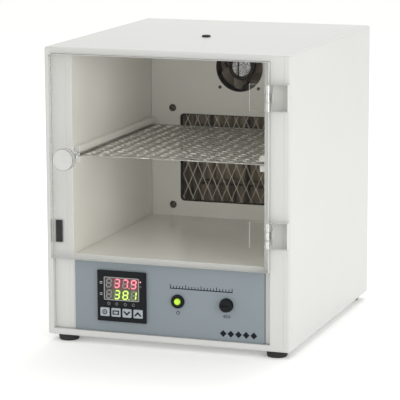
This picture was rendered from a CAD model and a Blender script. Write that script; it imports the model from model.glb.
import math

import bmesh
import bpy
from mathutils import Matrix, Quaternion, Vector


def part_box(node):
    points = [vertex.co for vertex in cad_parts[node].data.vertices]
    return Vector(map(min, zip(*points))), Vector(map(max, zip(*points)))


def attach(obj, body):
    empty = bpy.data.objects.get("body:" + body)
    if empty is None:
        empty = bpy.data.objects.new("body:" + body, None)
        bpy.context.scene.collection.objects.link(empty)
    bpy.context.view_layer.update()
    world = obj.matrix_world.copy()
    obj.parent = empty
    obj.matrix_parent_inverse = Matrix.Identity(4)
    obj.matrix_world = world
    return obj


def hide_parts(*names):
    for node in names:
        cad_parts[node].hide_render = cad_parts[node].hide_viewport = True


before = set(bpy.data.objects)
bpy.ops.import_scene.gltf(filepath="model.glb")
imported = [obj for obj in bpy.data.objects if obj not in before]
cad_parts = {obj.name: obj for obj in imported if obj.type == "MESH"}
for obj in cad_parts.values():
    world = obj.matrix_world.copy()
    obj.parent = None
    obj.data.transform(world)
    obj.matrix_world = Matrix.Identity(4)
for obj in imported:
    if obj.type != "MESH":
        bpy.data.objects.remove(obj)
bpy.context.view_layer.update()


# ---------------------------------------------------------------- camera
# A long lens on a stand to the right of the door, a little above the top of the case,
# so that the front, the right side and the top all show.

camera_data = bpy.data.cameras.new("camera")
camera_data.lens = 200.1
camera_data.sensor_width = 36
camera = bpy.data.objects.new("camera", camera_data)
bpy.context.scene.collection.objects.link(camera)

aim = Vector((-0.0092, 0, 0.1199))
distance = 2.1513
turn, rise, lean = math.radians(19.434), math.radians(10.523), math.radians(-0.209)
back = Vector((math.sin(turn) * math.cos(rise), -math.cos(turn) * math.cos(rise), math.sin(rise)))
camera.location = aim + back * distance
camera.rotation_mode = "QUATERNION"
camera.rotation_quaternion = back.to_track_quat("Z", "Y") @ Quaternion((0, 0, 1), lean)
bpy.context.scene.camera = camera


# ---------------------------------------------------------------- studio
# A pale sweep of paper on a lit table, an even white surround and three soft lamps: a
# one at the front right that reaches into the chamber, one above and a weak one in front.

bpy.context.scene.view_settings.view_transform = "Standard"

surround = bpy.data.worlds.new("surround")
surround.use_nodes = True
surround.node_tree.nodes["Background"].inputs["Color"].default_value = (1, 0.995, 0.985, 1)
surround.node_tree.nodes["Background"].inputs["Strength"].default_value = 0.88
bpy.context.scene.world = surround


def softbox(name, place, towards, size, power):
    lamp = bpy.data.lights.new(name, "AREA")
    lamp.shape = "RECTANGLE"
    lamp.size, lamp.size_y = size
    lamp.energy = power
    stand = bpy.data.objects.new(name, lamp)
    bpy.context.scene.collection.objects.link(stand)
    stand.location = place
    stand.rotation_mode = "QUATERNION"
    stand.rotation_quaternion = (Vector(place) - Vector(towards)).to_track_quat("Z", "Y")
    stand.visible_camera = False


softbox("right_lamp", (1.25, -0.95, 0.4), (0.05, 0, 0.16), (0.5, 0.5), 5.0)
softbox("top_lamp", (0.0, 0.8, 1.6), (0, 0.05, 0.28), (1.0, 1.0), 9.5)
softbox("front_lamp", (0.35, -1.6, 0.35), (-0.05, 0, 0.18), (0.8, 0.8), 0.8)

paper_mesh = bpy.data.meshes.new("paper")
reach = 5
paper_mesh.from_pydata([(-reach, -reach, 0), (reach, -reach, 0), (reach, reach, 0), (-reach, reach, 0)],
                       [], [(0, 1, 2, 3)])
paper = bpy.data.objects.new("paper", paper_mesh)
bpy.context.scene.collection.objects.link(paper)
paper_white = bpy.data.materials.new("paper_white")
paper_white.use_nodes = True
paper_shader = paper_white.node_tree.nodes["Principled BSDF"]
paper_shader.inputs["Roughness"].default_value = 0.9
paper_shader.inputs["Specular IOR Level"].default_value = 0.1
paper_shader.inputs["Emission Color"].default_value = (1, 1, 1, 1)
paper_shader.inputs["Emission Strength"].default_value = 0.19
fibre = paper_white.node_tree.nodes.new("ShaderNodeTexNoise")
fibre.inputs["Scale"].default_value = 900
fibre_tone = paper_white.node_tree.nodes.new("ShaderNodeValToRGB")
fibre_tone.color_ramp.elements[0].color = (0.90, 0.90, 0.89, 1)
fibre_tone.color_ramp.elements[1].color = (0.93, 0.93, 0.92, 1)
paper_white.node_tree.links.new(fibre.outputs["Fac"], fibre_tone.inputs["Fac"])
paper_white.node_tree.links.new(fibre_tone.outputs["Color"], paper_shader.inputs["Base Color"])
paper_mesh.materials.append(paper_white)


# ---------------------------------------------------------------- outer case
# Six-millimetre white plastic sheets, welded edge to edge with solvent and rubbed down, so that the
# joints close up and the outer edges are rounded over. The hinge stile is a solid strip of the same.

def add_node(tree, kind, values=None, **settings):
    made = tree.nodes.new(kind)
    for key, value in settings.items():
        setattr(made, key, value)
    for key, value in (values or {}).items():
        made.inputs[key].default_value = value
    return made


def wire(tree, *links):
    """Joins sockets. Each link is (node, its output, next node, that one's input)."""
    for start, output, end, socket in links:
        tree.links.new(start.outputs[output], end.inputs[socket])


def new_shader(name, **sockets):
    """A material with one main shader and the values given for its sockets, with _ for a space."""
    material = bpy.data.materials.new(name)
    material.use_nodes = True
    shader = material.node_tree.nodes["Principled BSDF"]
    for socket, value in sockets.items():
        shader.inputs[socket.replace("_", " ")].default_value = value
    return material


def grain(material, size, colours=None, roughness=None, bump=0.0, stretch=(1, 1, 1), detail=3.0):
    """Unevenness about `size` metres across: tones that drift, gloss that drifts and a fine relief."""
    tree = material.node_tree
    shader = tree.nodes["Principled BSDF"]
    place = add_node(tree, "ShaderNodeTexCoord")
    mapping = add_node(tree, "ShaderNodeMapping", {"Scale": stretch})
    noise = add_node(tree, "ShaderNodeTexNoise", {"Scale": 1 / size, "Detail": detail})
    wire(tree, (place, "Object", mapping, "Vector"), (mapping, "Vector", noise, "Vector"))
    if colours:
        ramp = add_node(tree, "ShaderNodeValToRGB")
        ramp.color_ramp.elements[0].position, ramp.color_ramp.elements[1].position = 0.3, 0.7
        for element, colour in zip(ramp.color_ramp.elements, colours):
            element.color = (*colour, 1)
        wire(tree, (noise, "Fac", ramp, "Fac"), (ramp, "Color", shader, "Base Color"))
    if roughness:
        span = add_node(tree, "ShaderNodeMapRange", {"To Min": roughness[0], "To Max": roughness[1]})
        wire(tree, (noise, "Fac", span, "Value"), (span, "Result", shader, "Roughness"))
    if bump:
        relief = add_node(tree, "ShaderNodeBump", {"Strength": bump, "Distance": size * 0.2})
        wire(tree, (noise, "Fac", relief, "Height"))
        if shader.inputs["Normal"].is_linked:
            tree.links.new(shader.inputs["Normal"].links[0].from_socket, relief.inputs["Normal"])
        wire(tree, (relief, "Normal", shader, "Normal"))
    return material


def new_finish(name, size, colours, roughness, bump=0.0, stretch=(1, 1, 1), detail=3.0, **sockets):
    """A shader with its grain. The sockets that the grain drives are left at its middle values."""
    middle_tone = [sum(pair) / 2 for pair in zip(*colours)]
    material = new_shader(name, Base_Color=(*middle_tone, 1), Roughness=sum(roughness) / 2, **sockets)
    return grain(material, size, colours, roughness, bump, stretch, detail)


def put(name, mesh, material, body, nodes=()):
    """Sets a piece in the scene: it rides on its body and stands for the solids named."""
    piece = bpy.data.objects.new(name, mesh)
    bpy.context.scene.collection.objects.link(piece)
    mesh.materials.clear()
    mesh.materials.append(material)
    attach(piece, body)
    if nodes:
        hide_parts(*nodes)
    return piece


def as_mesh(shape, name, turn_outward=False):
    if turn_outward:
        bmesh.ops.recalc_face_normals(shape, faces=shape.faces)
    mesh = bpy.data.meshes.new(name)
    shape.to_mesh(mesh)
    shape.free()
    return mesh


def smoothed(mesh, angle=35):
    mesh.shade_smooth()
    mesh.set_sharp_from_angle(angle=math.radians(angle))
    return mesh


def shaped(node, material, body, rounding, moves=(), segments=3):
    """The solid's own shape with its edges eased. rounding is a radius, or a function that gives
    one for the middle of an edge; moves are (axis, from, to) for faces brought onto a neighbour."""
    shape = bmesh.new()
    shape.from_mesh(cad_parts[node].data)
    bmesh.ops.remove_doubles(shape, verts=shape.verts, dist=1e-6)
    bmesh.ops.dissolve_limit(shape, angle_limit=0.01, verts=shape.verts[:], edges=shape.edges[:])
    for axis, start, end in moves:
        for corner in shape.verts:
            if abs(corner.co[axis] - start) < 2e-5:
                corner.co[axis] = end
    weights = shape.edges.layers.float.new("bevel_weight_edge")
    radius_at = rounding if callable(rounding) else lambda middle: rounding
    radii = {edge: radius_at((edge.verts[0].co + edge.verts[1].co) / 2)
             for edge in shape.edges if edge.is_manifold and edge.calc_face_angle(0) > 0.6}
    widest = max(radii.values())
    for edge, radius in radii.items():
        edge[weights] = radius / widest
    piece = put(node + "_shaped", smoothed(as_mesh(shape, node + "_shaped")), material, body, [node])
    eased = piece.modifiers.new("eased_edges", "BEVEL")
    eased.width, eased.segments, eased.limit_method = widest, segments, "WEIGHT"
    piece.modifiers.new("flat_faces", "WEIGHTED_NORMAL").keep_sharp = True
    return piece


white = new_finish("white_sheet", 0.06, [(0.601, 0.602, 0.585), (0.620, 0.621, 0.607)],
                   (0.30, 0.38), Specular_IOR_Level=0.4)
grain(white, 0.0012, bump=0.035)

X, Y, Z = 0, 1, 2
outer_radius, crease = 0.002, 0.0003
left_low, left_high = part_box("left_side_panel")
right_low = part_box("right_side_panel")[0]
stile_low, stile_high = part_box("hinge_stile")
top_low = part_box("top_panel")[0]
inner_left, inner_right = left_high.x, right_low.x


def side_rounding(joint_x):
    return lambda middle: crease if abs(middle.x - joint_x) < 1e-4 else outer_radius


shaped("left_side_panel", white, "case", side_rounding(inner_left), segments=4)
shaped("right_side_panel", white, "case", side_rounding(inner_right), segments=4)


def sheet_rounding(outer_z):
    """Rounded where the sheet's outer face meets the front and the back, and crisp elsewhere."""
    def radius_at(middle):
        at_end = min(abs(middle.y - left_low.y), abs(middle.y - left_high.y)) < 1e-4
        return outer_radius if at_end and abs(middle.z - outer_z) < 1e-4 else 0.0
    return radius_at


stile_left = stile_low.x - 0.0002
for node, outer_z in (("top_panel", left_high.z), ("bottom_panel", left_low.z)):
    shaped(node, white, "case", sheet_rounding(outer_z), [
        (X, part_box(node)[0].x, inner_left), (X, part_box(node)[1].x, inner_right),
        (Y, stile_high.y + 0.0002, stile_high.y)], segments=4)


def stile_rounding(middle):
    at_end = min(abs(middle.z - stile_low.z), abs(middle.z - stile_high.z)) < 1e-4
    if at_end and abs(middle.y - stile_low.y) < 1e-4:
        return outer_radius
    return 0.0


shaped("hinge_stile", white, "case", stile_rounding,
       [(X, stile_low.x, stile_left), (X, stile_high.x, inner_right)], segments=4)
back_low, back_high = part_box("back_panel")
shaped("back_panel", white, "case", crease, [
    (X, back_low.x, inner_left), (X, back_high.x, inner_right), (Z, back_high.z, top_low.z)])


# ---------------------------------------------------------------- chamber
# Inner walls, floor and back wall of the same sheet, left glossy. The floor and the walls show
# blurred reflections of the shelf and the guard.

chamber_white = new_finish("chamber_sheet", 0.05, [(0.852, 0.839, 0.778), (0.871, 0.859, 0.803)],
                           (0.19, 0.28), Specular_IOR_Level=0.45)
grain(chamber_white, 0.002, bump=0.02)


def outline_ring(centre_x, centre_z, radius, sides=64):
    return [(centre_x + radius * math.cos(2 * math.pi * i / sides),
             centre_z + radius * math.sin(2 * math.pi * i / sides)) for i in range(sides)]


def outline_box(low_x, low_z, high_x, high_z, radius=0.0, steps=6):
    """A rectangle's outline, its corners in arcs where a radius is given."""
    if not radius:
        return [(low_x, low_z), (high_x, low_z), (high_x, high_z), (low_x, high_z)]
    centres = [(high_x - radius, low_z + radius, -1), (high_x - radius, high_z - radius, 0),
               (low_x + radius, high_z - radius, 1), (low_x + radius, low_z + radius, 2)]
    return [(x + radius * math.cos((quarter + i / steps) * math.pi / 2),
             z + radius * math.sin((quarter + i / steps) * math.pi / 2))
            for x, z, quarter in centres for i in range(steps + 1)]


def plate(name, outlines, front, thickness, rounding):
    """An upright plate with rounded edges: the first outline is its own and the rest are holes."""
    curve = bpy.data.curves.new(name, "CURVE")
    curve.dimensions, curve.fill_mode = "2D", "BOTH"
    curve.extrude, curve.bevel_depth = thickness / 2 - rounding, rounding
    curve.bevel_resolution, curve.offset = 2, -rounding
    for outline in outlines:
        spline = curve.splines.new("POLY")
        spline.points.add(len(outline) - 1)
        for point, (x, z) in zip(spline.points, outline):
            point.co = (x, z, 0, 1)
        spline.use_cyclic_u = True
    pattern = bpy.data.objects.new(name, curve)
    mesh = bpy.data.meshes.new_from_object(pattern)
    bpy.data.objects.remove(pattern)
    mesh.transform(Matrix.Translation((0, front + thickness / 2, 0)) @ Matrix.Rotation(math.pi / 2, 4, "X"))
    return smoothed(mesh)


def with_outer_front(piece):
    """The front edges of a chamber sheet are scraped and have the outer sheets' tone."""
    piece.data.materials.append(white)
    for face in piece.data.polygons:
        if face.normal.y < -0.99:
            face.material_index = 1


for node in ("left_inner_wall", "right_inner_wall", "chamber_floor"):
    with_outer_front(shaped(node, chamber_white, "case", crease))
shaped("latch_stile", white, "case", crease, [
    (X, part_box("latch_stile")[0].x, inner_left),
    (X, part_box("latch_stile")[1].x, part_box("left_inner_wall")[0].x)])


def middle_of(node):
    return [(low + high) / 2 for low, high in zip(*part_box(node))]


wall_low, wall_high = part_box("chamber_back_wall")
fan_low, fan_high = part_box("fan_frame")
guard_low, guard_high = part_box("air_guard")
fan_x, _, fan_z = middle_of("fan_frame")
fan_hole = (fan_high.x - fan_low.x) / 2 - 0.0006
guard_overlap = 0.0045
vent_radius = 0.004


def vent_outline(inset):
    """The heater vent's outline in the back wall, or one that lies inside it."""
    edge = guard_overlap + inset
    return outline_box(guard_low.x + edge, guard_low.z + edge, guard_high.x - edge, guard_high.z - edge,
                       vent_radius - inset)


back_wall_mesh = plate("back_wall", [
    outline_box(wall_low.x, wall_low.z, wall_high.x, wall_high.z),
    outline_ring(fan_x, fan_z, fan_hole), vent_outline(0),
], wall_low.y, wall_high.y - wall_low.y, crease)
put("back_wall", back_wall_mesh, chamber_white, "case", ["chamber_back_wall"])
for node in ("left_shelf_rail", "right_shelf_rail"):
    with_outer_front(shaped(node, chamber_white, "case", 0.0004))


# ---------------------------------------------------------------- screws in the back wall
# Round-head machine screws in dark bronzed steel with a cross recess: four hold the wall,
# and four smaller ones hold the fan.

def turned(name, centre, profile, axis="Y", sides=64, angle=35):
    """A piece turned about a line along Y or Z: profile points are (radius, place on the line)."""
    shape = bmesh.new()
    rings = []
    for radius, along in profile:
        count = sides if radius > 1e-7 else 1
        ring = []
        for i in range(count):
            angle_round = 2 * math.pi * i / sides
            across = centre[0] + radius * math.cos(angle_round)
            up = centre[1] + radius * math.sin(angle_round)
            ring.append(shape.verts.new((across, along, up) if axis == "Y" else (across, up, along)))
        rings.append(ring)
    for near, far in zip(rings, rings[1:]):
        for i in range(sides):
            j = (i + 1) % sides
            corners = [near[i % len(near)], near[j % len(near)], far[j % len(far)], far[i % len(far)]]
            face = list(dict.fromkeys(corners))
            if len(face) > 2:
                shape.faces.new(face)
    return smoothed(as_mesh(shape, name, turn_outward=True), angle)


def merged(name, meshes, angle=35):
    shape = bmesh.new()
    for mesh in meshes:
        shape.from_mesh(mesh)
    return smoothed(as_mesh(shape, name), angle)


def block(low, high, radius=0.0, segments=2):
    """A block between two corners with all its edges eased."""
    shape = bmesh.new()
    bmesh.ops.create_cube(shape, size=1)
    size, centre = Vector(high) - Vector(low), (Vector(high) + Vector(low)) / 2
    stretch = Matrix.Translation(centre) @ Matrix.Diagonal((*size, 1))
    bmesh.ops.transform(shape, verts=shape.verts, matrix=stretch)
    if radius:
        bmesh.ops.bevel(shape, geom=shape.edges[:], offset=radius, segments=segments,
                        profile=0.5, affect="EDGES")
    return smoothed(as_mesh(shape, "block"))


def carved(mesh, cutters):
    """The mesh with the cutters taken away."""
    body = bpy.data.objects.new("carved", mesh)
    bpy.context.scene.collection.objects.link(body)
    tools = []
    for cutter in cutters:
        tool = bpy.data.objects.new("cutter", cutter)
        bpy.context.scene.collection.objects.link(tool)
        cut = body.modifiers.new("cut", "BOOLEAN")
        cut.object, cut.operation, cut.solver = tool, "DIFFERENCE", "EXACT"
        tools.append(tool)
    graph = bpy.context.evaluated_depsgraph_get()
    result = bpy.data.meshes.new_from_object(body.evaluated_get(graph))
    for spent in [body, *tools]:
        bpy.data.objects.remove(spent)
    return smoothed(result)


bronzed = new_finish("bronzed_steel", 0.0015, [(0.07, 0.06, 0.05), (0.15, 0.13, 0.105)],
                     (0.25, 0.42), bump=0.08, Metallic=0.9)


def round_head(name, x, z, seat, radius, height):
    """A domed head whose flat side lies on y = seat, with a cross cut into the dome."""
    dome = [(0, seat - height)]
    for step in range(1, 9):
        angle = step / 8 * math.pi / 2
        dome.append((radius * math.sin(angle), seat - height * (0.15 + 0.85 * math.cos(angle))))
    dome += [(radius, seat), (0, seat)]
    arm, width, deep = radius * 0.55, radius * 0.11, height * 0.55
    cross = [block((x - a, seat - height * 1.2, z - b), (x + a, seat - height + deep, z + b))
             for a, b in ((arm, width), (width, arm))]
    return carved(turned(name, (x, z), dome, sides=40), cross)


for i in range(1, 5):
    node = f"back_wall_screw_{i}"
    low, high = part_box(node)
    x, _, z = middle_of(node)
    radius, seat = (high.x - low.x) / 2, wall_low.y - 0.0001
    shank_radius = radius * 0.45
    shank = turned("shank", (x, z), [(0, seat), (shank_radius, seat), (shank_radius, high.y), (0, high.y)],
                   sides=24)
    head = round_head("head", x, z, seat, radius, seat - low.y)
    put(f"wall_screw_{i}", merged(node, [head, shank]), bronzed, "case", [node])


# ---------------------------------------------------------------- expanded metal: guard and shelf
# Slit and stretched zinc-coated steel. Each strand zigzags and is joined to the next at its bonds,
# where the pair forms one sloping strip, so the sheet is thicker than the metal it is made from.

def expanded_metal(name, low, high, across, along, normal, cell, strand, gauge, slope, twist, bond):
    """A field of strands between two corners. The strands run along one axis and are stacked across
    another. At its bonds a strand stands at the angle `slope`, and its legs are twisted by `twist`."""
    short, long = cell
    shape = bmesh.new()
    rows = int(round((high[across] - low[across]) / (short / 2)))
    pitch = (high[across] - low[across]) / rows
    start, end = low[along], high[along]
    middle = (low[normal] + high[normal]) / 2
    bends = [bond / 2, long / 2 - bond / 2]

    def wave(place):
        """1 at a peak, -1 at a trough, with a flat bond at each and straight legs between."""
        place = abs((place + long / 2) % long - long / 2)
        if place < bends[0]:
            return 1.0
        if place > bends[1]:
            return -1.0
        return 1 - 2 * (place - bends[0]) / (bends[1] - bends[0])

    for row in range(rows):
        shift = 0 if row % 2 else long / 2
        centre = low[across] + (row + 0.5) * pitch
        knots = {start, end}
        k = math.floor((start - shift) / long) - 1
        while k * long + shift < end + long:
            for bend in (bends[0], long / 4, bends[1], long - bends[1], long * 3 / 4, long - bends[0]):
                spot = k * long + shift + bend
                if start < spot < end:
                    knots.add(spot)
            k += 1
        sections = []
        for spot in sorted(knots):
            side = wave(spot - shift)
            tilt = math.radians(slope + twist * (1 - abs(side)))
            mid_across = centre + side * (pitch / 2 - strand / 2 * math.cos(tilt))
            mid_normal = middle - side * strand / 2 * math.sin(tilt)
            corners = []
            for along_slope, off in ((-1, -1), (1, -1), (1, 1), (-1, 1)):
                point = [0.0, 0.0, 0.0]
                point[along] = spot
                point[across] = (mid_across + along_slope * strand / 2 * math.cos(tilt)
                                 - off * gauge / 2 * math.sin(tilt))
                point[normal] = (mid_normal + along_slope * strand / 2 * math.sin(tilt)
                                 + off * gauge / 2 * math.cos(tilt))
                point[across] = min(max(point[across], low[across]), high[across])
                corners.append(shape.verts.new(point))
            sections.append(corners)
        for near, far in zip(sections, sections[1:]):
            for i in range(4):
                shape.faces.new((near[i], near[(i + 1) % 4], far[(i + 1) % 4], far[i]))
        shape.faces.new(sections[0][::-1])
        shape.faces.new(sections[-1])
    return as_mesh(shape, name, turn_outward=True)


guard_zinc = new_finish("guard_zinc", 0.004, [(0.52, 0.47, 0.39), (0.68, 0.62, 0.53)],
                        (0.42, 0.58), bump=0.1, Metallic=0.4)

guard_depth, guard_cell = 0.0018, (0.0104, 0.023)
guard_mesh = expanded_metal("guard", (guard_low.x, guard_low.y, guard_low.z),
                            (guard_high.x, guard_low.y + guard_depth, guard_high.z), X, Z, Y, guard_cell,
                            strand=0.0009, gauge=0.0006, slope=30, twist=0, bond=0.0014)
put("guard", guard_mesh, guard_zinc, "case", ["air_guard"])
lining_brown = new_finish("lining_brown", 0.004, [(0.035, 0.027, 0.018), (0.070, 0.056, 0.040)],
                          (0.7, 0.9), bump=0.05, Specular_IOR_Level=0.0)
gap, lining_gauge = 0.0001, 0.0006
lining = plate("lining", [vent_outline(gap), vent_outline(lining_gauge)],
               wall_low.y + gap, wall_high.y - wall_low.y, 0.0001)
put("guard_lining", lining, lining_brown, "case")

shelf_low, shelf_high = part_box("shelf")
rail_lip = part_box("left_shelf_rail")[1].x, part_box("right_shelf_rail")[0].x
edge_bar = 0.0016
field_low = Vector((rail_lip[0] + 0.0003, shelf_low.y + edge_bar, shelf_low.z))
field_high = Vector((rail_lip[1] - 0.0003, shelf_high.y - edge_bar, shelf_high.z))
shelf_cell = 0.0104, 0.023
margin_gauge = 0.0012
shelf_parts = [expanded_metal("field", field_low, field_high, Y, X, Z, shelf_cell,
                              strand=0.0011, gauge=0.0007, slope=-33.5, twist=-22, bond=0.0042)]


def rubbed_zinc(short, long, start):
    """Zinc plating that is rubbed bright where the strands meet and dull along their legs."""
    material = new_shader("zinc_mesh", Base_Color=(0.56, 0.55, 0.51, 1), Roughness=0.28, Metallic=1.0)
    grain(material, 0.003, roughness=(0.20, 0.42), bump=0.1)
    tree = material.node_tree
    place = add_node(tree, "ShaderNodeTexCoord")
    parts = add_node(tree, "ShaderNodeSeparateXYZ")
    wire(tree, (place, "Object", parts, "Vector"))
    waves = []
    for axis, period, offset in (("X", long, 0.0), ("Y", short, start)):
        rate = 2 * math.pi / period
        phase = add_node(tree, "ShaderNodeMath", {1: rate, 2: -rate * offset}, operation="MULTIPLY_ADD")
        wave = add_node(tree, "ShaderNodeMath", operation="COSINE")
        wire(tree, (parts, axis, phase, 0), (phase, "Value", wave, 0))
        waves.append(wave)
    both = add_node(tree, "ShaderNodeMath", operation="MULTIPLY")
    wire(tree, (waves[0], "Value", both, 0), (waves[1], "Value", both, 1))
    tones = add_node(tree, "ShaderNodeValToRGB")
    tones.color_ramp.elements[0].position, tones.color_ramp.elements[1].position = 0.0, 0.93
    tones.color_ramp.elements[0].color = (0.42, 0.412, 0.385, 1)
    tones.color_ramp.elements[1].color = (1.0, 0.99, 0.95, 1)
    tones.color_ramp.elements.new(0.72).color = (0.70, 0.685, 0.63, 1)
    patch = add_node(tree, "ShaderNodeTexNoise", {"Scale": 260, "Detail": 1.0})
    wire(tree, (place, "Object", patch, "Vector"))
    uneven = add_node(tree, "ShaderNodeMapRange", {
        "From Min": 0.3, "From Max": 0.7, "To Min": -0.70, "To Max": 0.40})
    wire(tree, (patch, "Fac", uneven, "Value"))
    total = add_node(tree, "ShaderNodeMath", operation="ADD")
    wire(tree, (both, "Value", total, 0), (uneven, "Result", total, 1), (total, "Value", tones, "Fac"),
         (tones, "Color", tree.nodes["Principled BSDF"], "Base Color"))
    return material


field_depth = field_high.y - field_low.y
shelf_rows = round(field_depth / (shelf_cell[0] / 2))
zinc = rubbed_zinc(2 * field_depth / shelf_rows, shelf_cell[1], field_low.y)
for x0, x1 in ((shelf_low.x, field_low.x + 0.001), (field_high.x - 0.001, shelf_high.x)):
    shelf_parts.append(block((x0, shelf_low.y, shelf_low.z),
                             (x1, shelf_high.y, shelf_low.z + margin_gauge), 0.0002))
for y0, y1 in ((shelf_low.y, shelf_low.y + edge_bar), (shelf_high.y - edge_bar, shelf_high.y)):
    shelf_parts.append(block((field_low.x, y0, shelf_low.z + 0.0003),
                             (field_high.x, y1, shelf_high.z - 0.0003), 0.0004))
put("mesh_shelf", merged("mesh_shelf", shelf_parts, 20), zinc, "shelf", ["shelf"])


# ---------------------------------------------------------------- fan
# A moulded axial fan: a square housing with three struts that carry the motor plate, a foil label
# on the plate, and a seven-bladed impeller that turns behind the struts.

fan_black = new_finish("fan_housing", 0.0008, [(0.018, 0.012, 0.007), (0.032, 0.022, 0.015)],
                       (0.42, 0.58), bump=0.12, Specular_IOR_Level=0.25)

hub_low, hub_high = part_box("fan_rotor")
plate_front = fan_low.y + 0.0006
strut_depth = 0.0016
bore = (fan_high.x - fan_low.x) / 2 - 0.0008
plate_radius, rim_width = 0.0136, 0.0017
housing = [plate("housing", [
    outline_box(fan_low.x, fan_low.z, fan_high.x, fan_high.z, 0.004),
    outline_ring(fan_x, fan_z, bore),
], fan_low.y, fan_high.y - fan_low.y, 0.0004)]
housing.append(turned("motor_plate", (fan_x, fan_z), [
    (0, plate_front + 0.0004), (plate_radius - rim_width, plate_front + 0.0004),
    (plate_radius - rim_width + 0.0003, plate_front), (plate_radius - 0.0004, plate_front),
    (plate_radius, plate_front + 0.0004), (plate_radius, plate_front + strut_depth),
    (0, plate_front + strut_depth)]))
strut_lean = math.radians(33)
for third in range(3):
    strut = block((-0.0014, plate_front, 0), (0.0014, plate_front + strut_depth, 0.0155), 0.0004)
    strut.transform(Matrix.Translation((fan_x, 0, fan_z)) @ Matrix.Rotation(third * 2 * math.pi / 3, 4, "Y")
                    @ Matrix.Translation((0, 0, -bore - 0.0002)) @ Matrix.Rotation(strut_lean, 4, "Y"))
    housing.append(strut)
mouth_gauge = 0.0005
mouth_outer = fan_hole - 0.0001
housing.append(turned("mouth", (fan_x, fan_z), [
    (mouth_outer, wall_low.y + 0.0001), (mouth_outer, fan_low.y), (mouth_outer - mouth_gauge, fan_low.y),
    (mouth_outer - mouth_gauge, wall_low.y + 0.0001), (mouth_outer, wall_low.y + 0.0001)]))
put("fan_housing", merged("fan_housing", housing), fan_black, "case", ["fan_frame"])

foil = new_finish("label_foil", 0.0014, [(0.20, 0.19, 0.20), (0.95, 0.94, 0.95)],
                  (0.3, 0.5), detail=1.0, Metallic=0.3)
label_radius = 0.0095
label = turned("label", (fan_x, fan_z), [
    (0, plate_front + 0.0002), (label_radius, plate_front + 0.0002),
    (label_radius, plate_front + 0.0005), (0, plate_front + 0.0005)])
lead_slot = block((fan_x - 0.0042, plate_front - 0.001, fan_z - 0.02),
                  (fan_x - 0.0026, plate_front + 0.001, fan_z + 0.02))
put("fan_label", carved(label, [lead_slot]), foil, "case")

blade_brown = new_finish("fan_blades", 0.003, [(0.165, 0.125, 0.088), (0.235, 0.185, 0.135)],
                         (0.3, 0.44), bump=0.04)
hub_radius, tip_radius = 0.0114, (hub_high.x - hub_low.x) / 2
blade_count, blade_arc, blade_sweep, blade_gauge = 7, 0.96, 0.35, 0.0009


def fan_blade(index):
    """One swept, cambered blade as a closed skin between its front and its back surface."""
    shape = bmesh.new()
    steps_out, steps_round = 8, 8
    low_y, high_y = hub_low.y + 0.0008, hub_high.y - 0.0008
    skins = []
    for side in (-1, 1):
        grid = []
        for i in range(steps_out + 1):
            out = i / steps_out
            radius = hub_radius - 0.0008 + (tip_radius - hub_radius + 0.0008) * out
            row = []
            for j in range(steps_round + 1):
                chord = j / steps_round
                root_angle = index / blade_count * 2 * math.pi
                angle = root_angle + blade_sweep * out ** 1.5 + blade_arc * (chord - 0.5)
                camber = 0.0009 * math.sin(math.pi * chord)
                deep = low_y + (high_y - low_y) * (0.08 + 0.84 * chord * (1 - 0.25 * out)) - camber
                taper = math.sin(math.pi * min(max(chord, 0.06), 0.94)) ** 0.5
                row.append(shape.verts.new((fan_x + radius * math.cos(angle),
                                            deep + side * blade_gauge / 2 * taper,
                                            fan_z + radius * math.sin(angle))))
            grid.append(row)
        skins.append(grid)
    for grid in skins:
        for i in range(steps_out):
            for j in range(steps_round):
                shape.faces.new((grid[i][j], grid[i + 1][j], grid[i + 1][j + 1], grid[i][j + 1]))
    front, rear = skins
    rim = [(i, 0) for i in range(steps_out)] + [(steps_out, j) for j in range(steps_round)]
    rim += [(i, steps_round) for i in range(steps_out, 0, -1)] + [(0, j) for j in range(steps_round, 0, -1)]
    for (a, b), (c, d) in zip(rim, rim[1:] + rim[:1]):
        shape.faces.new((front[a][b], front[c][d], rear[c][d], rear[a][b]))
    return as_mesh(shape, "blade", turn_outward=True)


hub = turned("hub", (fan_x, fan_z), [
    (0, hub_low.y), (hub_radius - 0.0012, hub_low.y), (hub_radius, hub_low.y + 0.0012),
    (hub_radius, hub_high.y), (0, hub_high.y)])
impeller = merged("impeller", [hub, *[fan_blade(i) for i in range(blade_count)]])
put("impeller", impeller, blade_brown, "fan_rotor", ["fan_rotor"])

fan_pitch = 0.0203
fan_screw_radius, fan_screw_height = 0.0017, 0.0010
for side_x, place_x in (("left", fan_x - fan_pitch), ("right", fan_x + fan_pitch)):
    for side_z, place_z in (("lower", fan_z - fan_pitch), ("upper", fan_z + fan_pitch)):
        fan_screw = round_head("fan_screw", place_x, place_z, wall_low.y, fan_screw_radius, fan_screw_height)
        put(f"{side_x}_{side_z}_fan_screw", fan_screw, bronzed, "case")


# ---------------------------------------------------------------- heater, shield, probe and cut-out
# A steel-sheathed rod bent back and forth, in a punched bracket, ahead of a dark heat shield.
# The probe stands out of the back wall; the cut-out is a sealed disc behind it.

sheath = new_finish("heater_sheath", 0.006, [(0.10, 0.08, 0.065), (0.24, 0.19, 0.14)],
                    (0.35, 0.6), bump=0.08, Metallic=0.85)
shaped("heater_rod", sheath, "case", 0.0001)

shield_brown = new_finish("heat_shield", 0.010, [(0.075, 0.056, 0.036), (0.430, 0.345, 0.245)],
                          (0.45, 0.65), bump=0.05, stretch=(1.6, 1, 0.16), Metallic=0.2)
shield_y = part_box("heater_rod")[1].y + 0.004
past_left, past_bottom = 0.012, 0.003
shield_mesh = plate("heat_shield", [
    outline_box(guard_low.x - past_left, guard_low.z - past_bottom, guard_high.x, fan_high.z, 0.003),
], shield_y, 0.0012, 0.0003)
put("heat_shield", shield_mesh, shield_brown, "case")

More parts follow.
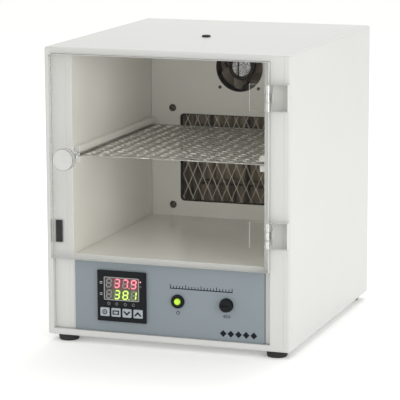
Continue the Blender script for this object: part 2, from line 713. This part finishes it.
bright_steel = new_finish("bright_steel", 0.0006, [(0.54, 0.54, 0.53), (0.70, 0.70, 0.69)],
                          (0.2, 0.36), bump=0.05, stretch=(1, 1, 6), Metallic=1.0)
dull_steel = new_finish("dull_steel", 0.003, [(0.09, 0.07, 0.05), (0.18, 0.145, 0.11)],
                        (0.42, 0.6), bump=0.06, Metallic=0.8)
shaped("heater_bracket", dull_steel, "case", 0.0001)

probe_low, probe_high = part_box("temperature_probe")
probe_x, _, probe_z = middle_of("temperature_probe")
probe_radius, collar_radius = 0.002, (probe_high.x - probe_low.x) / 2
collar_back = wall_low.y - 0.0002
tip_angles = [a * math.pi / 12 for a in range(7)]
tip = [(probe_radius * math.sin(a), probe_low.y + probe_radius * (1 - math.cos(a))) for a in tip_angles]
probe = turned("probe", (probe_x, probe_z), [
    *tip, (probe_radius, collar_back - 0.003), (collar_radius - 0.0004, collar_back - 0.003),
    (collar_radius, collar_back - 0.0026), (collar_radius, collar_back), (probe_radius, collar_back),
    (probe_radius, probe_high.y), (0, probe_high.y)], sides=40)
put("probe", probe, bright_steel, "case", ["temperature_probe"])


# ---------------------------------------------------------------- door
# Clear acrylic sheet with polished edges. A turned knob of the same is held by a screw from the
# back, and a matt black magnet strip on the latch stile meets its strike on the door.

def clear_finish(name, tint, passes):
    """Clear plastic that lets the lamps' and the surround's light through to what lies behind it."""
    material = new_shader(name, Base_Color=(*tint, 1), Roughness=0.012, Transmission_Weight=1.0, IOR=1.49,
                          Specular_Tint=(0.15, 0.15, 0.15, 1))
    grain(material, 0.03, roughness=(0.004, 0.022), detail=2.0)
    tree = material.node_tree
    shader, output = tree.nodes["Principled BSDF"], tree.nodes["Material Output"]
    straight = add_node(tree, "ShaderNodeBsdfTransparent", {"Color": (*passes, 1)})
    path = add_node(tree, "ShaderNodeLightPath")
    either = add_node(tree, "ShaderNodeMixShader")
    through = add_node(tree, "ShaderNodeMath", operation="MAXIMUM")
    wire(tree, (path, "Is Shadow Ray", through, 0), (path, "Is Diffuse Ray", through, 1),
         (through, "Value", either, 0), (shader, "BSDF", either, 1), (straight, "BSDF", either, 2),
         (either, "Shader", output, "Surface"))
    return material


acrylic = clear_finish("clear_acrylic", (0.985, 0.99, 0.985), (0.97, 0.97, 0.965))
satin_edge = new_finish("satin_edge", 0.0008, [(0.655, 0.659, 0.647), (0.705, 0.709, 0.697)],
                        (0.34, 0.5), bump=0.05, Transmission_Weight=0.15, IOR=1.49)


def with_satin_edges(piece, polished=()):
    """Gives the sawn and scraped edges of a clear sheet a satin finish. Its faces stay polished, and
    so do the edges that face one of the directions given."""
    piece.data.materials.append(satin_edge)
    for face in piece.data.polygons:
        if any(face.normal.dot(Vector(way)) > 0.99 for way in polished):
            continue
        if max(abs(face.normal.x), abs(face.normal.z)) > 0.99:
            face.material_index = 1


with_satin_edges(shaped("door_panel", acrylic, "door", 0.0004), [(-1, 0, 0)])

knob_low, knob_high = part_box("door_knob")
knob_x, _, knob_z = middle_of("door_knob")
knob_radius = (knob_high.x - knob_low.x) / 2
foot_radius, disc_depth, neck_length = 0.0034, 0.0075, 0.008
hole_radius, hole_depth = 0.0018, 0.007
flare_start, flare_end = knob_high.y - neck_length, knob_low.y + disc_depth
flare, flare_radius = [], knob_radius * 0.62
for i in range(13):
    t = i / 12
    flare.append((foot_radius - 0.0004 + (flare_radius - foot_radius + 0.0004) * t ** 2.2,
                  flare_start + (flare_end - flare_start) * t))
knob_profile = [(0, knob_low.y), (knob_radius - 0.0005, knob_low.y), (knob_radius, knob_low.y + 0.0005),
                (knob_radius, flare_end - 0.0004), (knob_radius - 0.0004, flare_end),
                *flare[::-1], (foot_radius, knob_high.y - 0.0006),
                (foot_radius, knob_high.y), (hole_radius, knob_high.y),
                (hole_radius, knob_high.y - hole_depth), (0, knob_high.y - hole_depth)]
frosted = new_finish("frosted_face", 0.0006, [(0.648, 0.648, 0.635), (0.672, 0.672, 0.660)],
                     (0.45, 0.55), bump=0.04, Transmission_Weight=0.2, IOR=1.2)
rim_grey = new_finish("knob_rim", 0.0006, [(0.19, 0.19, 0.185), (0.25, 0.25, 0.245)],
                      (0.25, 0.36), Transmission_Weight=0.3, IOR=1.49)
knob = put("knob", turned("knob", (knob_x, knob_z), knob_profile, sides=96, angle=25), acrylic, "door",
           ["door_knob"])
knob.data.materials.append(frosted)
knob.data.materials.append(rim_grey)
for face in knob.data.polygons:
    out = math.hypot(face.center.x - knob_x, face.center.z - knob_z)
    if face.normal.y < -0.99:
        face.material_index = 1
    elif out > knob_radius * 0.95 and 0.3 < abs(face.normal.y) < 0.95:
        face.material_index = 2
shaped("knob_screw", bright_steel, "door", 0.0002)

matt_black = new_finish("magnet_strip", 0.0006, [(0.008, 0.008, 0.009), (0.018, 0.018, 0.019)],
                        (0.65, 0.85), bump=0.2)
shaped("catch_magnet", matt_black, "case", 0.0004)
shaped("door_strike", matt_black, "door", 0.0003)


# ---------------------------------------------------------------- hinges
# Each hinge is two clear plates with knuckles on a plain pin; a clear block packs the frame's
# plate out to the face of the door.

for level in ("upper", "lower"):
    with_satin_edges(shaped(f"{level}_door_leaf", acrylic, "door", 0.0003))
    with_satin_edges(shaped(f"{level}_frame_leaf", acrylic, "case", 0.0003))
    with_satin_edges(shaped(f"{level}_hinge_spacer", acrylic, "case", 0.0004))
    pin_low, pin_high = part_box(f"{level}_hinge_pin")
    pin_radius = (pin_high.x - pin_low.x) / 2
    pin = turned("pin", middle_of(f"{level}_hinge_pin")[:2], [
        (0, pin_low.z), (pin_radius - 0.0003, pin_low.z), (pin_radius, pin_low.z + 0.0003),
        (pin_radius, pin_high.z - 0.0003), (pin_radius - 0.0003, pin_high.z), (0, pin_high.z),
    ], axis="Z", sides=32)
    put(f"{level}_pin", pin, bright_steel, "case", [f"{level}_hinge_pin"])


# ---------------------------------------------------------------- control panel
# Sheet metal in satin blue-grey paint, with dark printed marks: a plain scale over the lamp and the
# fuse, a small sign under each, and a row of lozenges in the corner.

panel_paint = new_finish("panel_paint", 0.09, [(0.220, 0.257, 0.282), (0.238, 0.276, 0.300)],
                         (0.38, 0.46), Specular_IOR_Level=0.4)
grain(panel_paint, 0.0005, bump=0.10)
shaped("control_panel", panel_paint, "case", 0.0003)

ink = new_finish("dark_ink", 0.0008, [(0.006, 0.007, 0.011), (0.012, 0.013, 0.020)],
                 (0.52, 0.68), Specular_IOR_Level=0.15)


def prism(outlines, front, rear):
    """Flat shapes in X and Z, given depth from front to rear."""
    shape = bmesh.new()
    for outline in outlines:
        near = [shape.verts.new((x, front, z)) for x, z in outline]
        far = [shape.verts.new((x, rear, z)) for x, z in outline]
        shape.faces.new(near)
        shape.faces.new(far[::-1])
        for i in range(len(outline)):
            j = (i + 1) % len(outline)
            shape.faces.new((near[j], near[i], far[i], far[j]))
    return as_mesh(shape, "prism", turn_outward=True)


def line(points, width):
    """The outlines of a drawn line: one four-sided shape for each straight stretch."""
    shapes = []
    for (x0, z0), (x1, z1) in zip(points, points[1:]):
        length = math.hypot(x1 - x0, z1 - z0)
        along = ((x1 - x0) / length * width / 2, (z1 - z0) / length * width / 2)
        across = (-along[1], along[0])
        shapes.append([(x0 - along[0] + across[0], z0 - along[1] + across[1]),
                       (x0 - along[0] - across[0], z0 - along[1] - across[1]),
                       (x1 + along[0] - across[0], z1 + along[1] - across[1]),
                       (x1 + along[0] + across[0], z1 + along[1] + across[1])])
    return shapes


def arc(centre_x, centre_z, radius, start, end, steps=20):
    """Points on an arc; start and end are in turns, anticlockwise from the right."""
    return [(centre_x + radius * math.cos(2 * math.pi * (start + (end - start) * i / steps)),
             centre_z + radius * math.sin(2 * math.pi * (start + (end - start) * i / steps)))
            for i in range(steps + 1)]


lamp_low, lamp_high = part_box("lamp_body")
lamp_x, _, lamp_z = middle_of("lamp_body")
fuse_x, _, fuse_z = middle_of("fuse_holder")
rule_z, sign_z, corner_z = lamp_z + 0.0135, lamp_z - 0.0109, lamp_z - 0.0270
rule_left, rule_right, rule_base = lamp_x - 0.0074, fuse_x + 0.0052, rule_z - 0.0014
marks = line([(rule_left, rule_base), (rule_right, rule_base)], 0.0009)
tick_count = 20
for i in range(tick_count + 1):
    tick_x = rule_left + (rule_right - rule_left) * i / tick_count
    tick_top = rule_z + (0.0020 if i % 5 == 0 else 0.0008)
    marks += line([(tick_x, rule_base), (tick_x, tick_top)], 0.0007)
marks += line(arc(lamp_x, sign_z, 0.0015, 0.32, 1.18), 0.0004)
marks += line([(lamp_x, sign_z + 0.0004), (lamp_x, sign_z + 0.0021)], 0.0004)
marks += line([(fuse_x - 0.0042, sign_z), (fuse_x + 0.0042, sign_z)], 0.0003)
fuse_sign = outline_box(fuse_x - 0.0026, sign_z - 0.001, fuse_x + 0.0026, sign_z + 0.001)
marks += line(fuse_sign + fuse_sign[:1], 0.0004)
lozenge, lozenge_pitch, lozenge_count = 0.0033, 0.0074, 5
for i in range(lozenge_count):
    centre_x = fuse_x - 0.0035 + i * lozenge_pitch
    marks.append([(centre_x - lozenge, corner_z), (centre_x, corner_z - lozenge),
                  (centre_x + lozenge, corner_z), (centre_x, corner_z + lozenge)])
ink_height, mark_depth = 0.00006, 0.0002
panel_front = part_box("control_panel")[0].y
panel_marks = prism(marks, panel_front - ink_height, panel_front + mark_depth)
put("panel_marks", panel_marks, ink, "case")


# ---------------------------------------------------------------- temperature controller
# A square panel instrument in a near-black moulding: a smoked display of two rows of four figures
# in a light frame, indicator lights beside it and four rubber keys below.

case_black = new_finish("instrument_black", 0.0005, [(0.006, 0.007, 0.008), (0.013, 0.014, 0.017)],
                        (0.42, 0.58), bump=0.16, Specular_IOR_Level=0.15)
shaped("controller_case", case_black, "case", 0.0005)

pale_frame = new_finish("display_frame", 0.001, [(0.35, 0.355, 0.36), (0.41, 0.415, 0.42)], (0.35, 0.48))
window_low, window_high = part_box("display_window")
border = 0.0007
frame_mesh = plate("display_frame", [
    outline_box(window_low.x, window_low.z, window_high.x, window_high.z, 0.001),
    outline_box(window_low.x + border, window_low.z + border, window_high.x - border, window_high.z - border,
                0.0006),
], window_low.y - 0.0002, 0.0009, 0.0002)
put("display_frame", frame_mesh, pale_frame, "case")

digit_width, digit_height, digit_slant = 0.0057, 0.0082, 0.12
window_x = middle_of("display_window")[0]
row_levels = {"upper": window_high.z - 0.0058, "lower": window_low.z + 0.0055}
digit_pitch = 0.0082


def smoke_finish():
    """Smoked plastic that takes a little red behind the upper row and a little green below."""
    smoke_tones = [(0.030, 0.028, 0.028), (0.043, 0.040, 0.040)]
    material = new_finish("display_smoke", 0.003, smoke_tones, (0.26, 0.36))
    tree = material.node_tree
    shader = tree.nodes["Principled BSDF"]
    place = add_node(tree, "ShaderNodeTexCoord")
    parts = add_node(tree, "ShaderNodeSeparateXYZ")
    wire(tree, (place, "Object", parts, "Vector"))
    split = (row_levels["upper"] + row_levels["lower"]) / 2
    rows = add_node(tree, "ShaderNodeMapRange", {"From Min": split - 0.0012, "From Max": split + 0.0012})
    rows.interpolation_type = "SMOOTHSTEP"
    wire(tree, (parts, "Z", rows, "Value"))
    tones = add_node(tree, "ShaderNodeValToRGB")
    tones.color_ramp.elements[0].color = (0.045, 0.085, 0.004, 1)
    tones.color_ramp.elements[1].color = (0.15, 0.012, 0.022, 1)
    wire(tree, (rows, "Result", tones, "Fac"), (tones, "Color", shader, "Emission Color"))
    first = window_x - digit_pitch
    sideways = add_node(tree, "ShaderNodeMapRange", {
        "From Min": first - 0.0035, "From Max": first + 0.0005, "To Min": 0.0, "To Max": 0.9})
    sideways.interpolation_type = "SMOOTHSTEP"
    wire(tree, (parts, "X", sideways, "Value"), (sideways, "Result", shader, "Emission Strength"))
    return material


smoke_front = window_low.y + 0.0003
smoke_mesh = block((window_low.x + 0.0004, smoke_front, window_low.z + 0.0004),
                   (window_high.x - 0.0004, window_high.y, window_high.z - 0.0004), 0.0001)
put("display_window_smoke", smoke_mesh, smoke_finish(), "case", ["display_window"])


def lit(name, colour, strength):
    """Clear plastic with a light behind it; its own tone is about half as bright as its light."""
    own_tones = [[tone * share for tone in colour] for share in (0.42, 0.58)]
    return new_finish(name, 0.002, own_tones, (0.3, 0.42), Emission_Color=(*colour, 1),
                      Emission_Strength=strength)


red_light = lit("red_figures", (1.0, 0.26, 0.32), 1.05)
green_light = lit("green_figures", (0.62, 0.88, 0.16), 1.0)
unlit = new_finish("unlit_figures", 0.002, [(0.230, 0.226, 0.222), (0.270, 0.265, 0.260)], (0.35, 0.48))

bar_width, bar_gap = 0.00128, 0.00018
BARS = {"a": ((-1, 2), (1, 2)), "b": ((1, 2), (1, 0)), "c": ((1, 0), (1, -2)), "d": ((-1, -2), (1, -2)),
        "e": ((-1, 0), (-1, -2)), "f": ((-1, 2), (-1, 0)), "g": ((-1, 0), (1, 0))}
FIGURES = {"3": "abcdg", "7": "abc", "8": "abcdefg", "9": "abcdfg", "1": "bc", " ": ""}


def figure_bars(centre_x, centre_z, letters):
    """Six-sided bars of one figure, leaning to the right."""
    half_w, quarter_h = digit_width / 2 - bar_width / 2, digit_height / 4 - bar_width / 8
    shapes = []
    for letter in letters:
        (x0, z0), (x1, z1) = BARS[letter]
        start, end = Vector((x0 * half_w, z0 * quarter_h)), Vector((x1 * half_w, z1 * quarter_h))
        along = (end - start).normalized()
        across = Vector((-along.y, along.x)) * bar_width / 2
        start, end = start + along * bar_gap, end - along * bar_gap
        tip = along * bar_width / 2
        outline = [start, start + tip + across, end - tip + across,
                   end, end - tip - across, start + tip - across]
        shapes.append([(centre_x + p.x + p.y * digit_slant, centre_z + p.y) for p in outline])
    return shapes


readings = {"upper": " 379", "lower": " 381"}
lights = {"upper": red_light, "lower": green_light}
figure_front, figure_rear = window_low.y + 0.00022, window_low.y + 0.0004
for row, reading in readings.items():
    bright, dim = [], []
    for i, figure in enumerate(reading):
        centre_x = window_x + (i - 1.5) * digit_pitch - 0.0003
        bright += figure_bars(centre_x, row_levels[row], FIGURES[figure])
        dim += figure_bars(centre_x, row_levels[row], sorted(set(BARS) - set(FIGURES[figure])))
    point_x = window_x + digit_pitch - 0.0003 - digit_slant * digit_height / 2
    bright.append(outline_ring(point_x, row_levels[row] - digit_height / 2 + 0.0002, 0.0005, 16))
    put(f"{row}_figures", prism(bright, figure_front, figure_rear), lights[row], "case")
    put(f"{row}_unlit", prism(dim, figure_front, figure_rear), unlit, "case")

pale_mark = new_finish("pale_marks", 0.001, [(0.55, 0.55, 0.55), (0.66, 0.66, 0.66)], (0.45, 0.58))
side_marks = []
mark_x = window_low.x - 0.0028
for level in row_levels.values():
    for dash_z in (level - 0.0007, level + 0.0007):
        side_marks += line([(mark_x - 0.0011, dash_z), (mark_x + 0.0011, dash_z)], 0.00045)
ring_z = window_low.z - 0.0033
for i in range(4):
    side_marks += line(arc(window_x + (i - 1.5) * digit_pitch - 0.0004, ring_z, 0.0012, 0, 1, 12), 0.0005)
light_x = window_high.x + 0.0014
light_z = row_levels["upper"] + 0.0028
side_marks += line(arc(light_x, light_z - 0.0046, 0.0007, 0, 1, 12), 0.0004)
bezel_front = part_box("controller_case")[0].y
bezel_marks = prism(side_marks, bezel_front - 0.00005, bezel_front + mark_depth)
put("bezel_marks", bezel_marks, pale_mark, "case")
red_dot = prism([outline_ring(light_x, light_z, 0.0007, 20)],
                bezel_front - 0.00008, bezel_front + mark_depth)
put("indicator_light", red_dot, lit("indicator_red", (1.0, 0.42, 0.36), 0.9), "case")


# ---------------------------------------------------------------- keys of the controller
# Four pale blue-grey rubber keys, each printed with a plain dark sign: a ring and dot, a loop,
# an arrow head down and an arrow head up. Each sign rides on its own key.

key_rubber = new_finish("key_rubber", 0.0008, [(0.335, 0.375, 0.405), (0.385, 0.425, 0.455)],
                        (0.52, 0.68), bump=0.12)
for node in ("set_key", "shift_key", "down_key", "up_key"):
    shaped(node, key_rubber, node, 0.0005)
    x, _, z = middle_of(node)
    signs = {
        "set_key": [outline_ring(x, z, 0.0006, 16), *line(arc(x, z, 0.0019, 0, 1), 0.0008)],
        "shift_key": line([(x - 0.0006, z - 0.0015), (x - 0.0027, z - 0.0015), (x - 0.0027, z + 0.0015),
                           (x + 0.0027, z + 0.0015), (x + 0.0027, z - 0.0015), (x + 0.0010, z - 0.0015)],
                          0.0011),
        "down_key": line([(x - 0.0025, z + 0.0013), (x, z - 0.0012), (x + 0.0025, z + 0.0013)], 0.0015),
        "up_key": line([(x - 0.0025, z - 0.0013), (x, z + 0.0012), (x + 0.0025, z - 0.0013)], 0.0015),
    }
    key_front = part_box(node)[0].y
    sign = prism(signs[node], key_front - ink_height, key_front + mark_depth)
    put(node + "_sign", sign, ink, node)


# ---------------------------------------------------------------- lamp and fuse
# A panel lamp with a domed green lens in a black ring, and a fuse holder whose slotted black cap
# covers its ring.

ring_radius, ring_depth, barrel_radius, well_radius, well_depth = 0.0064, 0.0022, 0.0049, 0.0035, 0.0015
lamp_ring = turned("lamp_ring", (lamp_x, lamp_z), [
    (0, lamp_low.y + well_depth), (well_radius - 0.0002, lamp_low.y + well_depth),
    (well_radius, lamp_low.y + 0.0002), (well_radius + 0.0004, lamp_low.y),
    (ring_radius - 0.0008, lamp_low.y), (ring_radius - 0.0002, lamp_low.y + 0.0003),
    (ring_radius, lamp_low.y + 0.0008), (ring_radius, lamp_low.y + ring_depth),
    (barrel_radius, lamp_low.y + ring_depth), (barrel_radius, lamp_high.y), (0, lamp_high.y)])
put("lamp_ring", lamp_ring, case_black, "case", ["lamp_body"])

lens_low, lens_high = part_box("lamp_lens")
lens_radius = (lens_high.x - lens_low.x) / 2
dome_height = 0.0016
lens_profile = [(0, lens_low.y)]
for i in range(1, 11):
    angle = i / 10 * math.pi / 2
    lens_profile.append((lens_radius * math.sin(angle), lens_low.y + dome_height * (1 - math.cos(angle))))
lens_profile += [(lens_radius, lens_high.y), (0, lens_high.y)]
green_lens = new_finish("green_lens", 0.0012, [(0.08, 0.22, 0.005), (0.18, 0.38, 0.02)],
                        (0.12, 0.26), bump=0.08)
lens_tree = green_lens.node_tree
lens_shader = lens_tree.nodes["Principled BSDF"]
lens_place = add_node(lens_tree, "ShaderNodeTexCoord")
lens_centre = (lamp_x, (lens_low.y + lens_high.y) / 2, lamp_z)
from_centre = add_node(lens_tree, "ShaderNodeVectorMath", {1: lens_centre}, operation="DISTANCE")
glow = add_node(lens_tree, "ShaderNodeMapRange", {
    "From Min": 0.0016, "From Max": 0.0036, "To Min": 1.0, "To Max": 0.1})
glow_tone = add_node(lens_tree, "ShaderNodeValToRGB")
glow_tone.color_ramp.elements[0].color = (0.03, 0.10, 0.002, 1)
glow_tone.color_ramp.elements[1].color = (0.62, 0.95, 0.05, 1)
wire(lens_tree, (lens_place, "Object", from_centre, 0), (from_centre, "Value", glow, "Value"),
     (glow, "Result", glow_tone, "Fac"), (glow_tone, "Color", lens_shader, "Emission Color"))
lens_shader.inputs["Emission Strength"].default_value = 0.9
put("lens", turned("lens", (lamp_x, lamp_z), lens_profile), green_lens, "case", ["lamp_lens"])

shaped("fuse_holder", case_black, "case", 0.0002)
cover_low, cover_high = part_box("fuse_cap")
cover_radius = (cover_high.x - cover_low.x) / 2
stem_radius, skirt = 0.0033, cover_low.y + 0.0034
cover = turned("cover", (fuse_x, fuse_z), [
    (0, cover_low.y), (cover_radius - 0.0008, cover_low.y), (cover_radius - 0.0002, cover_low.y + 0.0002),
    (cover_radius, cover_low.y + 0.0008), (cover_radius, skirt), (stem_radius, skirt),
    (stem_radius, cover_high.y), (0, cover_high.y)])
coin_slot = block((fuse_x - 0.004, cover_low.y - 0.001, fuse_z - 0.0006),
                  (fuse_x + 0.004, cover_low.y + 0.001, fuse_z + 0.0006))
put("fuse_cover", carved(cover, [coin_slot]), case_black, "fuse_cap", ["fuse_cap"])
brass = new_finish("fuse_brass", 0.001, [(0.54, 0.38, 0.14), (0.70, 0.52, 0.22)],
                   (0.22, 0.4), bump=0.05, Metallic=1.0)
shaped("fuse", brass, "fuse_cap", 0.0002)


# ---------------------------------------------------------------- electronics bay
# Out of sight: a grey moulded relay that switches the heater, an ivory terminal block for the
# mains leads and a sealed round cut-out, each fixed to the case.

relay_grey = new_finish("relay_grey", 0.001, [(0.045, 0.05, 0.055), (0.068, 0.073, 0.08)],
                        (0.42, 0.58), bump=0.1)
shaped("heater_relay", relay_grey, "case", 0.0006)
ivory = new_finish("ivory_plastic", 0.002, [(0.62, 0.57, 0.46), (0.70, 0.65, 0.54)], (0.42, 0.58), bump=0.06)
shaped("terminal_block", ivory, "case", 0.0005)
shaped("thermal_cutout", relay_grey, "case", 0.0003)


# ---------------------------------------------------------------- back: mains inlet and power switch
# A flanged three-pin inlet of black moulding, held in the back cover by two bright screws, and a
# plain black rocker switch whose housing snaps in beside it.

shaped("mains_inlet", case_black, "case", 0.0004)
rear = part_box("mains_inlet")[1].y
inlet_x, _, inlet_z = middle_of("mains_inlet")
screw_offset, head_radius, head_depth = 0.020, 0.0028, 0.0018
for side, screw_x in (("left", inlet_x - screw_offset), ("right", inlet_x + screw_offset)):
    screw = turned("inlet_screw", (screw_x, inlet_z), [
        (0, rear - 0.0003), (head_radius - 0.0004, rear - 0.0003), (head_radius, rear - 0.0001),
        (head_radius, rear - head_depth), (0, rear - head_depth)], sides=40)
    cross = [block((screw_x - a, rear - 0.0011, inlet_z - b), (screw_x + a, rear + 0.001, inlet_z + b))
             for a, b in ((0.0014, 0.0003), (0.0003, 0.0014))]
    put(f"{side}_inlet_screw", carved(screw, cross), bright_steel, "case")

shaped("switch_housing", case_black, "case", 0.0004)
shaped("power_rocker", case_black, "power_rocker", 0.0005)


# ---------------------------------------------------------------- feet and port plug
# Four turned black rubber feet with a hollow for the screw, and a push-in rubber plug that closes
# the thermometer port in the top.

rubber = new_finish("foot_rubber", 0.0012, [(0.009, 0.009, 0.009), (0.020, 0.020, 0.020)],
                    (0.6, 0.82), bump=0.15)
hollow_radius, hollow_depth = 0.0032, 0.003
for node in ("front_left_foot", "front_right_foot", "rear_left_foot", "rear_right_foot"):
    low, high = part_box(node)
    centre, radius = middle_of(node)[:2], (high.x - low.x) / 2
    foot = turned("foot", centre, [
        (0, low.z + hollow_depth), (hollow_radius, low.z + hollow_depth),
        (hollow_radius, low.z + 0.0004), (hollow_radius + 0.0004, low.z),
        (radius - 0.0016, low.z), (radius - 0.0010, low.z + 0.0003), (radius - 0.0006, low.z + 0.0009),
        (radius, high.z - 0.0009), (radius - 0.0003, high.z - 0.0002), (radius - 0.0006, high.z),
        (0, high.z)], axis="Z")
    put(node + "_rubber", foot, rubber, "case", [node])

plug_low, plug_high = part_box("port_plug")
plug_centre = middle_of("port_plug")[:2]
plug_radius, stem = (plug_high.x - plug_low.x) / 2, 0.003
plug_seat = left_high.z + 0.0002
plug = turned("plug", plug_centre, [
    (0, plug_low.z), (stem - 0.0005, plug_low.z), (stem, plug_low.z + 0.0008), (stem, plug_seat),
    (plug_radius, plug_seat), (plug_radius, plug_high.z - 0.0008),
    (plug_radius - 0.0003, plug_high.z - 0.0002),
    (plug_radius - 0.0008, plug_high.z), (0.0016, plug_high.z), (0.0011, plug_high.z - 0.0004),
    (0, plug_high.z - 0.0004)], axis="Z", sides=48)
put("plug", plug, rubber, "port_plug", ["port_plug"])
